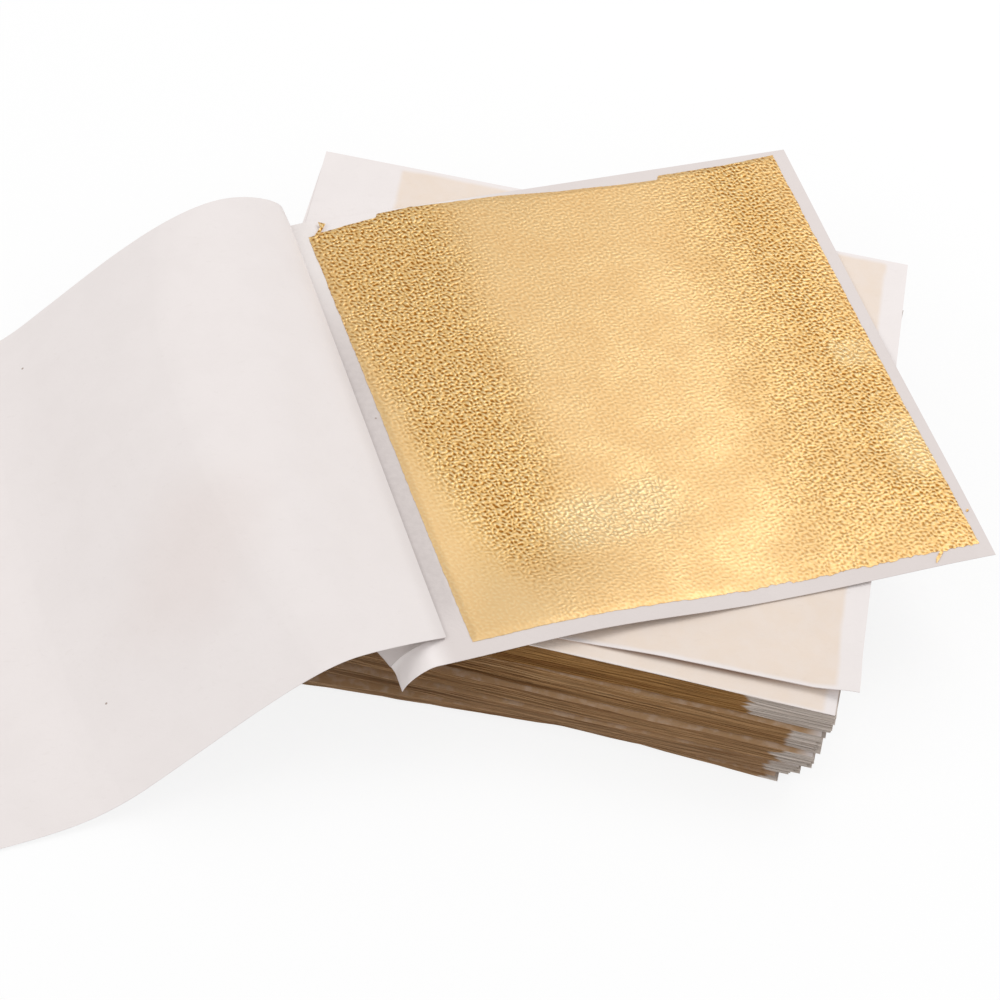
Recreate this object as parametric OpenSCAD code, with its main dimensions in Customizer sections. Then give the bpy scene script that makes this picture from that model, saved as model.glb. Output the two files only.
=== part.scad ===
// Loose stack of gold leaf packets with one packet opened on top.
// Frame: origin under the centre of the lowest packet, +Z up, +Y to the back.

/* [View] */
// Which piece to draw, or all

/* [Packet] */
// Thickness of one tissue with its air
tissue_t = 0.075; // [0.03:0.005:0.15]
// Gold leaf width
leaf_w = 80; // [60:1:100]
// Gold leaf height
leaf_h = 85; // [60:1:100]
// Thickness of one gold leaf with its air
leaf_t = 0.02; // [0.01:0.005:0.05]
// Wide margin of the tissue beside the leaf, glued side
wide_margin = 14.7; // [5:0.1:20]
// Narrow margin beside the leaf, free side
side_margin = 1.8; // [0.5:0.1:6]
// Margin at the foot of the leaf
foot_margin = 3.1; // [0.5:0.1:6]
// Margin at the head of the leaf
head_margin = 0.9; // [0.5:0.1:6]

/* [Stack] */
// Packets in the lowest group
base_count = 26; // [1:1:40]
// Packets in the lower group
lower_count = 18; // [1:1:40]
// Packets in the middle group
middle_count = 24; // [1:1:40]
// Packets in the group turned end for end
turned_count = 29; // [1:1:40]
// Packets at the bottom of the lowest group that are twisted to the right
skewed_count = 6; // [0:1:12]
// Packets above those that are twisted to the left
askew_count = 6; // [0:1:12]
// Twist of the first of those, degrees
skewed_turn = -3.6; // [-6:0.1:6]
// Twist of the second of those, degrees
askew_turn = 3.5; // [-6:0.1:6]
// How far each packet strays sideways from its group
stray = 0.45; // [0:0.05:2]
// How far the leaf in the top closed packet lies off its usual place
top_leaf_shift = -1.7; // [-4:0.1:4]
// How far each packet strays in turn, degrees
stray_turn = 0.35; // [0:0.05:2]
// Turn of the top closed packet, degrees
top_turn = 1.2; // [-5:0.1:5]
// Turn of the second packet, degrees
second_turn = -0.7; // [-5:0.1:5]

/* [Open packet] */
// Turn of the open packet, degrees
open_turn = 28.5; // [0:0.5:60]
// Gap under the open packet
open_gap = 0.12; // [0.05:0.01:0.5]
// Gap under the bare leaf
leaf_gap = 0.08; // [0.04:0.01:0.3]
// Thickness of each open sheet
form_t = 0.1; // [0.05:0.01:0.3]
// Width of the margin where the two tissues are glued
glued_w = 9.7; // [4:0.1:15]
// Fall of the front left corner
corner_fall = 7; // [0:0.5:10]
// How far that corner draws in as it falls
corner_tuck = 3.4; // [0:0.1:3.6]
// Rise of the front edge
front_rise = 1.5; // [0:0.1:4]
// Rise of the right corner
right_rise = 0.8; // [0:0.1:4]
// How far the cover is glued past the foot of the backing
cover_shift = 4.3; // [0.5:0.1:8]
// Free strip of the cover between its glue and its crease
crease_off = 1.3; // [0.5:0.1:4]
// Height of the turned cover above the stack at its front edge
front_hump = 2.9; // [1:0.1:5]
// Height of the turned cover above the stack at its back edge
back_hump = 5.6; // [2:0.1:8]
// Slant of the turned cover, degrees
cover_slant = 8.5; // [0:0.5:12]
// How far the stack's corner lifts the middle of the cover
corner_lift = 6.2; // [0:0.1:8]
// Height of the soft waves in the cover
wave_h = 0.3; // [0:0.05:1]

/* [Hidden] */
paper_w = leaf_w + wide_margin + side_margin;
paper_h = leaf_h + foot_margin + head_margin;
pitch = 2 * tissue_t + leaf_t;
lower_first = base_count;
middle_first = lower_first + lower_count;
turned_first = middle_first + middle_count;
second_index = turned_first + turned_count;
top_index = second_index + 1;
stack_top = (top_index + 1) * pitch;
// Leaf centre is the packet's own origin in the open packet
paper_left = -leaf_w / 2 - wide_margin;
paper_right = paper_left + paper_w;
paper_foot = -leaf_h / 2 - foot_margin;
paper_head = paper_foot + paper_h;
// Leaf offset inside a closed packet, from the packet's centre
leaf_dx = -(paper_left + paper_right) / 2;
leaf_dy = -(paper_foot + paper_head) / 2;
top_at = [8.7, 3.2];
second_at = [7.3, 1.1];
open_at = [16.7, 11.1];
glue_u = paper_left + glued_w;

// Small helpers
function clamp01(x) = min(1, max(0, x));
function smooth(x) = let (c = clamp01(x)) c * c * (3 - 2 * c);
function lerp(a, b, t) = a + (b - a) * t;
function wander(i, k) = sin(i * k * 57.3) * 0.6 + sin(i * k * 23.9 + 40) * 0.4;

// Place of each closed packet: [x, y, turn, end]
function base_place(i) =
    let (t = (i + 1) / base_count)
    i == 0 ? [0, 0, 0, 1] :
    i <= skewed_count ? [4.15, 1.4, skewed_turn, 1] :
    i <= skewed_count + askew_count ? [0, -1.75, askew_turn, 1] :
    [1.5 + 2.8 * t, -0.95 - 0.2 * t, -0.1, 1];
function lower_place(i) =
    let (t = (i - lower_first) / lower_count)
    [5.9 + 0.6 * t, -0.4, -0.9, 1];
function middle_place(i) =
    let (t = (i - middle_first) / middle_count)
    [6.8 + 0.3 * t, 0.95, -1.4, 1];
function turned_place(i) = [second_at.x, second_at.y, second_turn + 0.3, -1];
function packet_place(i) =
    i == top_index ? [top_at.x, top_at.y, top_turn, 1] :
    i == second_index ? [second_at.x, second_at.y, second_turn, 1] :
    i >= turned_first ? turned_place(i) :
    i >= middle_first ? middle_place(i) :
    i >= lower_first ? lower_place(i) : base_place(i);
// The lowest packet and the two top ones lie exactly, the others stray
function strays(i) =
    i == 0 || i >= second_index ? 0 :
    i <= skewed_count + askew_count ? 0.3 :
    i >= turned_first ? 0.4 : 1;

module at_packet(i) {
    p = packet_place(i);
    s = strays(i);
    translate([
        p[0] + s * stray * wander(i, 1.7),
        p[1] + s * stray * wander(i, 2.9),
        i * pitch
    ])
        rotate(p[2] + s * stray_turn * wander(i, 4.1))
            scale([p[3], p[3], 1])
                children();
}

module slab(w, h, t) {
    translate([-w / 2, -h / 2, 0])
        cube([w, h, t]);
}

module backing_tissue(i) {
    at_packet(i)
        slab(paper_w, paper_h, tissue_t);
}

module gold_leaf(i) {
    shift = i == top_index ? top_leaf_shift : 0;
    at_packet(i)
        translate([leaf_dx + shift, leaf_dy, tissue_t])
            slab(leaf_w, leaf_h, leaf_t);
}

module cover_tissue(i) {
    at_packet(i)
        translate([0, 0, tissue_t + leaf_t])
            slab(paper_w, paper_h, tissue_t);
}

module backing_group(first, count) {
    color([0.90, 0.87, 0.86])
        for (i = [first : first + count - 1])
            backing_tissue(i);
}

module leaf_group(first, count) {
    color([0.93, 0.76, 0.45])
        for (i = [first : first + count - 1])
            gold_leaf(i);
}

module cover_group(first, count) {
    color([0.92, 0.89, 0.88])
        for (i = [first : first + count - 1])
            cover_tissue(i);
}

module base_backing_tissues() backing_group(0, base_count);
module base_gold_leaves() leaf_group(0, base_count);
module base_cover_tissues() cover_group(0, base_count);
module lower_backing_tissues() backing_group(lower_first, lower_count);
module lower_gold_leaves() leaf_group(lower_first, lower_count);
module lower_cover_tissues() cover_group(lower_first, lower_count);
module middle_backing_tissues() backing_group(middle_first, middle_count);
module middle_gold_leaves() leaf_group(middle_first, middle_count);
module middle_cover_tissues() cover_group(middle_first, middle_count);
module turned_backing_tissues() backing_group(turned_first, turned_count);
module turned_gold_leaves() leaf_group(turned_first, turned_count);
module turned_cover_tissues() cover_group(turned_first, turned_count);
module second_backing_tissue() backing_group(second_index, 1);
module second_gold_leaf() leaf_group(second_index, 1);
module second_cover_tissue() cover_group(second_index, 1);
module top_backing_tissue() backing_group(top_index, 1);
module top_gold_leaf() leaf_group(top_index, 1);
module top_cover_tissue() cover_group(top_index, 1);

// A closed thin sheet between two grids of points, each nu + 1 by nv + 1
module sheet(low, high, nu, nv) {
    row = nv + 1;
    n = (nu + 1) * row;
    top = [for (i = [0 : nu - 1], j = [0 : nv - 1], k = [0, 1])
        let (a = n + i * row + j)
        k == 0 ? [a, a + 1, a + row + 1] : [a, a + row + 1, a + row]];
    under = [for (i = [0 : nu - 1], j = [0 : nv - 1], k = [0, 1])
        let (a = i * row + j)
        k == 0 ? [a, a + row + 1, a + 1] : [a, a + row, a + row + 1]];
    rim = concat(
        [for (j = [0 : nv - 1]) j],
        [for (i = [0 : nu - 1]) i * row + nv],
        [for (j = [nv : -1 : 1]) nu * row + j],
        [for (i = [nu : -1 : 1]) i * row]
    );
    m = len(rim);
    side = [for (k = [0 : m - 1], q = [0, 1])
        let (a = rim[k], b = rim[(k + 1) % m])
        q == 0 ? [a, b, b + n] : [a, b + n, a + n]];
    polyhedron(points = concat(low, high), faces = concat(top, under, side));
}

module at_open() {
    translate([open_at.x, open_at.y, stack_top])
        rotate(open_turn)
            children();
}

// World x of a point of the open packet, for the overhang past the stack
function world_x(u, v) = open_at.x + u * cos(open_turn) - v * sin(open_turn);

// Fall of the left strip at the front, where it hangs off the stack
strip_u = paper_left + 8.2;
strip_v = paper_foot + 11.1;
strip_w = strip_u - paper_left;
function strip_part(u, v) =
    clamp01((strip_u - u) / strip_w) * smooth((strip_v - v) / 8);
stack_left = top_at.x - paper_w / 2 - 0.6;
function left_fall(u, v) = 0.045 * pow(max(0, stack_left - world_x(u, v)), 2);
function rise(u, v) =
    front_rise * smooth((-24 - v) / 20) * smooth(1 - abs(u + 22) / 28)
    + right_rise * smooth((u - 10) / 30) * smooth((-v + 5) / 45);
function open_z(u, v) =
    rise(u, v) - left_fall(u, v)
    - corner_fall * pow(strip_part(u, v), 1.6);
// A point of the sheet's section across the glued margin, and one above it
function section(u, v) =
    [u + corner_tuck * pow(strip_part(u, v), 2.2), open_z(u, v)];
function open_point(u, v, up) =
    let (
        p = section(u, v),
        step = section(u + 0.05, v) - section(u - 0.05, v),
        d = step / norm(step)
    )
    [p.x - up * d.y, v + 1.2 * pow(strip_part(u, v), 2.2), p.y + up * d.x];
// Points of an open sheet over columns us and rows vs
function open_grid(us, vs, up, edge) =
    [for (i = [0 : len(us) - 1], j = [0 : len(vs) - 1])
        let (
            a = i / (len(us) - 1),
            b = j / (len(vs) - 1)
        )
        open_point(
            us[i] + edge * leaf_edge_u(a, vs[j]),
            vs[j] + edge * leaf_edge_v(b, us[i]),
            up
        )];
// Uneven cut edges of the bare leaf
function leaf_edge_u(a, v) = (1 - a) * -0.4 * (1 + sin(v * 4)) + a * 0.3 * sin(v * 9);
function leaf_edge_v(b, u) =
    b * 0.5 * sin(u * 7 + 60) - (1 - b) * 0.4 * sin(u * 6);

module open_sheet(us, vs, up, thick, edge) {
    at_open()
        sheet(
            open_grid(us, vs, up, edge),
            open_grid(us, vs, up + thick, edge),
            len(us) - 1, len(vs) - 1
        );
}

leaf_up = open_gap + form_t + leaf_gap;
cover_foot = paper_foot + cover_shift;
cover_head = cover_foot + paper_h;
crease_u = glue_u + crease_off;

// Columns and rows of the open sheets, alike where they lie on each other
function steps(low, high, n) = [for (i = [0 : n]) lerp(low, high, i / n)];
function after_first(list) = [for (i = [1 : len(list) - 1]) list[i]];
margin_us = steps(paper_left, crease_u - 0.2, 6);
backing_us = concat(margin_us, after_first(steps(crease_u - 0.2, paper_right, 20)));
glued_vs = steps(cover_foot, paper_head, 18);
backing_vs = concat([paper_foot], glued_vs);
margin_vs = concat(glued_vs, [cover_head]);
leaf_us = steps(-leaf_w / 2, leaf_w / 2, 22);
leaf_vs = steps(-leaf_h / 2, leaf_h / 2, 22);

module open_backing_tissue() {
    color([0.90, 0.87, 0.86])
        open_sheet(backing_us, backing_vs, open_gap, form_t, 0);
}

module open_glued_margin() {
    color([0.80, 0.77, 0.74])
        open_sheet(margin_us, margin_vs, leaf_up, form_t, 0);
}

module open_gold_leaf() {
    color([0.94, 0.78, 0.50])
        open_sheet(leaf_us, leaf_vs, leaf_up, form_t / 2, 1);
}

// Sections of the turned cover at its front and back edges, as [distance, height]
crease_z = leaf_up + form_t + 0.06;
table = -stack_top + 0.25;
cover_len = paper_w - glued_w - crease_off;
front_end = cover_len - 6.4;
back_end = cover_len - 9.2;
front_knots = [
    [[0, crease_z], [4, 1.5], [9.5, front_hump], [14, front_hump]],
    [[14, front_hump], [22, front_hump], [33, 0.31 * table], [45, 0.72 * table]],
    [[45, 0.72 * table], [52.5, 0.99 * table], [62, table], [front_end, table]]
];
back_knots = [
    [[0, crease_z], [0.6, 2.6], [5.5, back_hump], [11, back_hump]],
    [[11, back_hump], [21, back_hump], [31.5, 0.18 * table], [43, 0.65 * table]],
    [[43, 0.65 * table], [50.2, 0.95 * table], [58, table], [back_end, table]]
];
path_steps = [9, 13, 10];
function bezier(k, t) =
    pow(1 - t, 3) * k[0] + 3 * pow(1 - t, 2) * t * k[1]
    + 3 * (1 - t) * t * t * k[2] + pow(t, 3) * k[3];
function path_of(knots) = [
    for (s = [0 : 2], i = [s == 0 ? 0 : 1 : path_steps[s]])
        bezier(knots[s], i / path_steps[s])
];
front_path = path_of(front_knots);
back_path = path_of(back_knots);
path_n = len(front_path) - 1;
function path_at(i, t) = lerp(front_path[i], back_path[i], t);
function along(i, t) =
    let (d = path_at(min(path_n, i + 1), t) - path_at(max(0, i - 1), t))
    d / norm(d);
// The cover starts at the height of the sheet below, and the stack's
// corner holds its middle up
function cover_lift(a, t) =
    open_z(crease_u, lerp(cover_foot, cover_head, t)) * (1 - smooth(a / 14))
    + corner_lift * smooth(1 - abs(a - 31) / 26) * sin(180 * t);
function waves(a, t) =
    wave_h * smooth((a - 6) / 14) * smooth((66 - a) / 14)
    * sin(t * 300 + a * 5);
// How far the cover runs off to the front by distance a from its crease
function drift(a) = tan(cover_slant) * (a - pow(max(0, a - 50), 2) / 50);
function cover_point(i, t, off) =
    let (
        d = along(i, t),
        p = path_at(i, t) + off * [-d.y, d.x],
        a = p.x
    )
    [
        crease_u - a,
        lerp(cover_foot, cover_head, t) - drift(a),
        p.y + cover_lift(a, t) + waves(a, t)
    ];
cover_cells = 12;

module open_cover_tissue() {
    color([0.93, 0.90, 0.89])
        at_open()
            sheet(
                [for (i = [0 : path_n], j = [0 : cover_cells])
                    cover_point(i, j / cover_cells, 0)],
                [for (i = [0 : path_n], j = [0 : cover_cells])
                    cover_point(i, j / cover_cells, form_t)],
                path_n, cover_cells
            );
}

// Torn crumbs of leaf lying on the backing, each [u, v, turn, size]
crumbs = [
    [leaf_w / 2 - 6.5, paper_foot + 1.4, -35, 1.5],
    [leaf_w / 2 + side_margin / 2 + 0.2, -leaf_h / 2 + 6, 0, 0.6]
];

crumb_edge = [[-0.6, -0.3], [0.5, -0.4], [0.7, 0.1], [0.1, 0.6], [-0.4, 0.4]];

module leaf_crumbs() {
    color([0.94, 0.78, 0.50])
        at_open()
            for (c = crumbs)
                translate([c[0], c[1], open_z(c[0], c[1]) + leaf_up])
                    rotate(c[2])
                        linear_extrude(leaf_t * 2)
                            polygon(c[3] * crumb_edge);
}

base_backing_tissues();
base_gold_leaves();
base_cover_tissues();
lower_backing_tissues();
lower_gold_leaves();
lower_cover_tissues();
middle_backing_tissues();
middle_gold_leaves();
middle_cover_tissues();
turned_backing_tissues();
turned_gold_leaves();
turned_cover_tissues();
second_backing_tissue();
second_gold_leaf();
second_cover_tissue();
top_backing_tissue();
top_gold_leaf();
top_cover_tissue();
open_backing_tissue();
open_glued_margin();
open_gold_leaf();
open_cover_tissue();
leaf_crumbs();
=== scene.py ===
from itertools import accumulate
import math

import bpy
import numpy as np
from mathutils import Matrix, Vector


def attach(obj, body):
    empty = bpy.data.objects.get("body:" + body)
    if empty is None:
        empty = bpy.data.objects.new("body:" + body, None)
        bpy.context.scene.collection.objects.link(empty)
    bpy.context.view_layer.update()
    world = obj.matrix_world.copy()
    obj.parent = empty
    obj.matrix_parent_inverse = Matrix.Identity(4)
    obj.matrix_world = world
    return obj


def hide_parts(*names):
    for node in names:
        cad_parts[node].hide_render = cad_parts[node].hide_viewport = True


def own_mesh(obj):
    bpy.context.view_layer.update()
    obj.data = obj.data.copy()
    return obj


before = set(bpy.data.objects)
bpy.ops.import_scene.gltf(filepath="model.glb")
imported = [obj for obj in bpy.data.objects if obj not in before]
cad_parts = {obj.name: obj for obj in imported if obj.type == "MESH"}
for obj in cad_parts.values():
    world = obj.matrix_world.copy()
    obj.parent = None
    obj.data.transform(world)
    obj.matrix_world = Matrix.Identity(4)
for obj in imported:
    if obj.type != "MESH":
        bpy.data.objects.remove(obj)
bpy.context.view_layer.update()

# Sizes in mm and turns in degrees, as in the part's source. A closed packet's own frame has its
# origin at the paper's middle. The open packet's frame has it at the leaf's middle, with u to the
# right and v to the head.
MM = 0.001
PAPER_W, PAPER_H = 96.5, 89.0
LEAF_W, LEAF_H = 80.0, 85.0
TISSUE_T, LEAF_T = 0.075, 0.02
WIDE, FOOT = 14.7, 3.1
GLUED_W = 9.7
COUNTS = {"base": 26, "lower": 18, "middle": 24, "turned": 29, "second": 1, "top": 1}
FIRST = dict(zip(COUNTS, accumulate(COUNTS.values(), initial=0)))
PITCH = 2 * TISSUE_T + LEAF_T
TOP = sum(COUNTS.values()) * PITCH
# How far single packets stray, in mm and degrees
STRAY, STRAY_TURN = 0.45, 0.35
# The two twisted runs of the base group: how many packets, and their turns
SKEWED, ASKEW = 6, 6
SKEWED_TURN, ASKEW_TURN = -3.6, 3.5
SECOND_AT, SECOND_TURN = (7.3, 1.1), -0.7
TOP_AT, TOP_TURN, TOP_LEAF_SHIFT = (8.7, 3.2), 1.2, -1.7
OPEN_AT, OPEN_TURN = (16.7, 11.1), 28.5
LEFT = -LEAF_W / 2 - WIDE
RIGHT = LEFT + PAPER_W
FOOT_V = -LEAF_H / 2 - FOOT
HEAD_V = FOOT_V + PAPER_H
# The leaf's middle, from the paper's middle
LEAF_DX = -(LEFT + RIGHT) / 2
LEAF_DY = -(FOOT_V + HEAD_V) / 2
GLUE_U = LEFT + GLUED_W
OPEN_GAP, FORM_T, LEAF_GAP = 0.12, 0.1, 0.08
LEAF_UP = OPEN_GAP + FORM_T + LEAF_GAP


# Small maths
def smooth(x):
    c = np.clip(x, 0, 1)
    return c * c * (3 - 2 * c)


def rad(d):
    return d * math.pi / 180


def wander(i, k):
    """A packet's own swing, about -1 to 1, the same as in the part's source."""
    return math.sin(rad(i * k * 57.3)) * 0.6 + math.sin(rad(i * k * 23.9 + 40)) * 0.4


class Noise:
    """Smooth seeded value noise over a repeating lattice, about -1 to 1."""

    def __init__(self, seed, n=64):
        self.n = n
        self.g = np.random.RandomState(seed).uniform(-1, 1, (n, n))

    def __call__(self, x, y):
        xi, yi = np.floor(x).astype(int), np.floor(y).astype(int)
        fx, fy = x - xi, y - yi
        fx, fy = fx ** 3 * (fx * (fx * 6 - 15) + 10), fy ** 3 * (fy * (fy * 6 - 15) + 10)
        g, n = self.g, self.n
        a, b = g[xi % n, yi % n], g[(xi + 1) % n, yi % n]
        c, d = g[xi % n, (yi + 1) % n], g[(xi + 1) % n, (yi + 1) % n]
        return (a * (1 - fx) + b * fx) * (1 - fy) + (c * (1 - fx) + d * fx) * fy


def fractal(noise, x, y, octaves):
    out, amp, total = 0, 1.0, 0.0
    for k in range(octaves):
        out = out + amp * noise(x * 2 ** k + 17.3 * k, y * 2 ** k + 5.1 * k)
        total += amp
        amp *= 0.5
    return out / total


soft_noise, worm_noise, rag_noise, fine_noise = Noise(11), Noise(5), Noise(6), Noise(7)


# The closed packets' places
def place(i):
    """[x, y, turn, end] of a closed packet; end is -1 where it lies turned end for end."""
    g = [name for name in COUNTS if FIRST[name] <= i][-1]
    t = (i - FIRST[g]) / COUNTS[g]
    stray = 1
    if g == "base":
        t = (i + 1) / COUNTS[g]
        stray = 0.3 if i <= SKEWED + ASKEW else 1
        p = [1.5 + 2.8 * t, -0.95 - 0.2 * t, -0.1, 1]
        if i == 0:
            return [0, 0, 0, 1]
        if i <= SKEWED:
            p = [4.15, 1.4, SKEWED_TURN, 1]
        elif i <= SKEWED + ASKEW:
            p = [0, -1.75, ASKEW_TURN, 1]
    elif g == "lower":
        p = [5.9 + 0.6 * t, -0.4, -0.9, 1]
    elif g == "middle":
        p = [6.8 + 0.3 * t, 0.95, -1.4, 1]
    elif g == "turned":
        p = [SECOND_AT[0], SECOND_AT[1], SECOND_TURN + 0.3, -1]
        stray = 0.4
    elif g == "second":
        return [*SECOND_AT, SECOND_TURN, 1]
    else:
        return [*TOP_AT, TOP_TURN, 1]
    p[0] += stray * STRAY * wander(i, 1.7)
    p[1] += stray * STRAY * wander(i, 2.9)
    p[2] += stray * STRAY_TURN * wander(i, 4.1)
    return p


# The open packet's form. Left of STACK_LEFT it has left the pile and sags.
CO, SO = math.cos(rad(OPEN_TURN)), math.sin(rad(OPEN_TURN))
STACK_LEFT = TOP_AT[0] - PAPER_W / 2 - 0.6
FRONT_SWELL, RIGHT_SWELL, SAG = 1.5, 0.8, 0.045
# Its loose front left corner: where it begins, how far it hangs and tucks, and the powers
STRIP_U, STRIP_V = LEFT + 8.2, FOOT_V + 11.1
HANG, HANG_POWER = 6.3, 1.35
TUCK_U, TUCK_V, TUCK_POWER = 4.2, 1.2, 1.9


def strip_part(u, v):
    """0 on the sheet, rising to 1 at the end of the loose corner."""
    return np.clip((STRIP_U - u) / (STRIP_U - LEFT), 0, 1) * smooth((STRIP_V - v) / 8)


def open_z(u, v):
    """The open packet's height over the top of the pile."""
    wx = OPEN_AT[0] + u * CO - v * SO
    rise = (FRONT_SWELL * smooth((-24 - v) / 20) * smooth(1 - np.abs(u + 22) / 28)
            + RIGHT_SWELL * smooth((u - 10) / 30) * smooth((-v + 5) / 45))
    fall = SAG * np.maximum(0, STACK_LEFT - wx) ** 2
    return rise - fall - HANG * strip_part(u, v) ** HANG_POWER


def section(u, v):
    """The form's section at v: place along u, and height."""
    return u + TUCK_U * strip_part(u, v) ** TUCK_POWER, open_z(u, v)


def open_point(u, v, up):
    """A point up mm over the open packet's form, square to it."""
    (x0, z0), (x1, z1) = section(u - 0.05, v), section(u + 0.05, v)
    dx, dz = x1 - x0, z1 - z0
    m = np.hypot(dx, dz)
    x, z = section(u, v)
    return x - up * dz / m, v + TUCK_V * strip_part(u, v) ** TUCK_POWER, z + up * dx / m


def to_world(u, v, z):
    """From the open packet's u, v and height over the pile to the shared frame, in mm."""
    return np.stack([OPEN_AT[0] + u * CO - v * SO, OPEN_AT[1] + u * SO + v * CO, TOP + z], -1)


# The turned cover: its shift along the crease, its slant, and its rises
COVER_SHIFT, CREASE_OFF, SLANT = 4.3, 1.3, 8.5
FRONT_HUMP, BACK_HUMP, CORNER_LIFT, WAVE_H = 2.9, 5.6, 6.2, 0.3
COVER_FOOT = FOOT_V + COVER_SHIFT
COVER_HEAD = COVER_FOOT + PAPER_H
CREASE_U = GLUE_U + CREASE_OFF
CREASE_Z = LEAF_UP + FORM_T + 0.06
TABLE = -TOP + 0.25
COVER_LEN = PAPER_W - GLUED_W - CREASE_OFF
# Curves of its front and back sections: [distance from the crease, height over the pile]
FRONT_KNOTS = [
    [(0, CREASE_Z), (4, 1.5), (9.5, FRONT_HUMP), (14, FRONT_HUMP)],
    [(14, FRONT_HUMP), (22, FRONT_HUMP), (33, 0.31 * TABLE), (45, 0.72 * TABLE)],
    [(45, 0.72 * TABLE), (52.5, 0.99 * TABLE), (62, TABLE), (COVER_LEN - 6.4, TABLE)],
]
BACK_KNOTS = [
    [(0, CREASE_Z), (0.6, 2.6), (5.5, BACK_HUMP), (11, BACK_HUMP)],
    [(11, BACK_HUMP), (21, BACK_HUMP), (31.5, 0.18 * TABLE), (43, 0.65 * TABLE)],
    [(43, 0.65 * TABLE), (50.2, 0.95 * TABLE), (58, TABLE), (COVER_LEN - 9.2, TABLE)],
]
CURVE_STEPS = 200


def cover_path(knots, n):
    """Even steps along one section of the turned cover."""
    pts = []
    t = np.linspace(0, 1, CURVE_STEPS)[:, None]
    for k in np.array(knots):
        pts.append((1 - t) ** 3 * k[0] + 3 * (1 - t) ** 2 * t * k[1]
                   + 3 * (1 - t) * t * t * k[2] + t ** 3 * k[3])
    p = np.vstack([pts[0], pts[1][1:], pts[2][1:]])
    s = np.concatenate([[0], np.cumsum(np.linalg.norm(np.diff(p, axis=0), axis=1))])
    w = np.linspace(0, s[-1], n + 1)
    return np.stack([np.interp(w, s, p[:, 0]), np.interp(w, s, p[:, 1])], 1)


# Meshes
SHARP_ANGLE = 50


def solid(name, verts, faces):
    """A smooth-shaded mesh object, sharp at its rims."""
    me = bpy.data.meshes.new(name)
    me.from_pydata(verts.tolist(), [], [list(map(int, f)) for f in faces])
    me.update()
    me.polygons.foreach_set("use_smooth", [True] * len(me.polygons))
    me.set_sharp_from_angle(angle=rad(SHARP_ANGLE))
    ob = bpy.data.objects.new(name, me)
    bpy.context.scene.collection.objects.link(ob)
    return ob


def grid_sheet(name, low, high):
    """A closed thin sheet from two (nu+1, nv+1, 3) grids, in mm."""
    nu, nv = low.shape[0] - 1, low.shape[1] - 1
    idx = np.arange((nu + 1) * (nv + 1)).reshape(nu + 1, nv + 1)
    n = idx.size
    a, b, c, d = idx[:-1, :-1], idx[1:, :-1], idx[1:, 1:], idx[:-1, 1:]
    up = np.stack([a, b, c, d], -1).reshape(-1, 4) + n
    dn = np.stack([a, d, c, b], -1).reshape(-1, 4)
    rim = np.concatenate([idx[0, :-1], idx[:-1, -1], idx[-1, :0:-1], idx[:0:-1, 0]])
    nxt = np.roll(rim, -1)
    side = np.stack([rim, nxt, nxt + n, rim + n], -1)
    verts = np.vstack([low.reshape(-1, 3), high.reshape(-1, 3)]) * MM
    return solid(name, verts, np.vstack([up, dn, side]))


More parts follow.
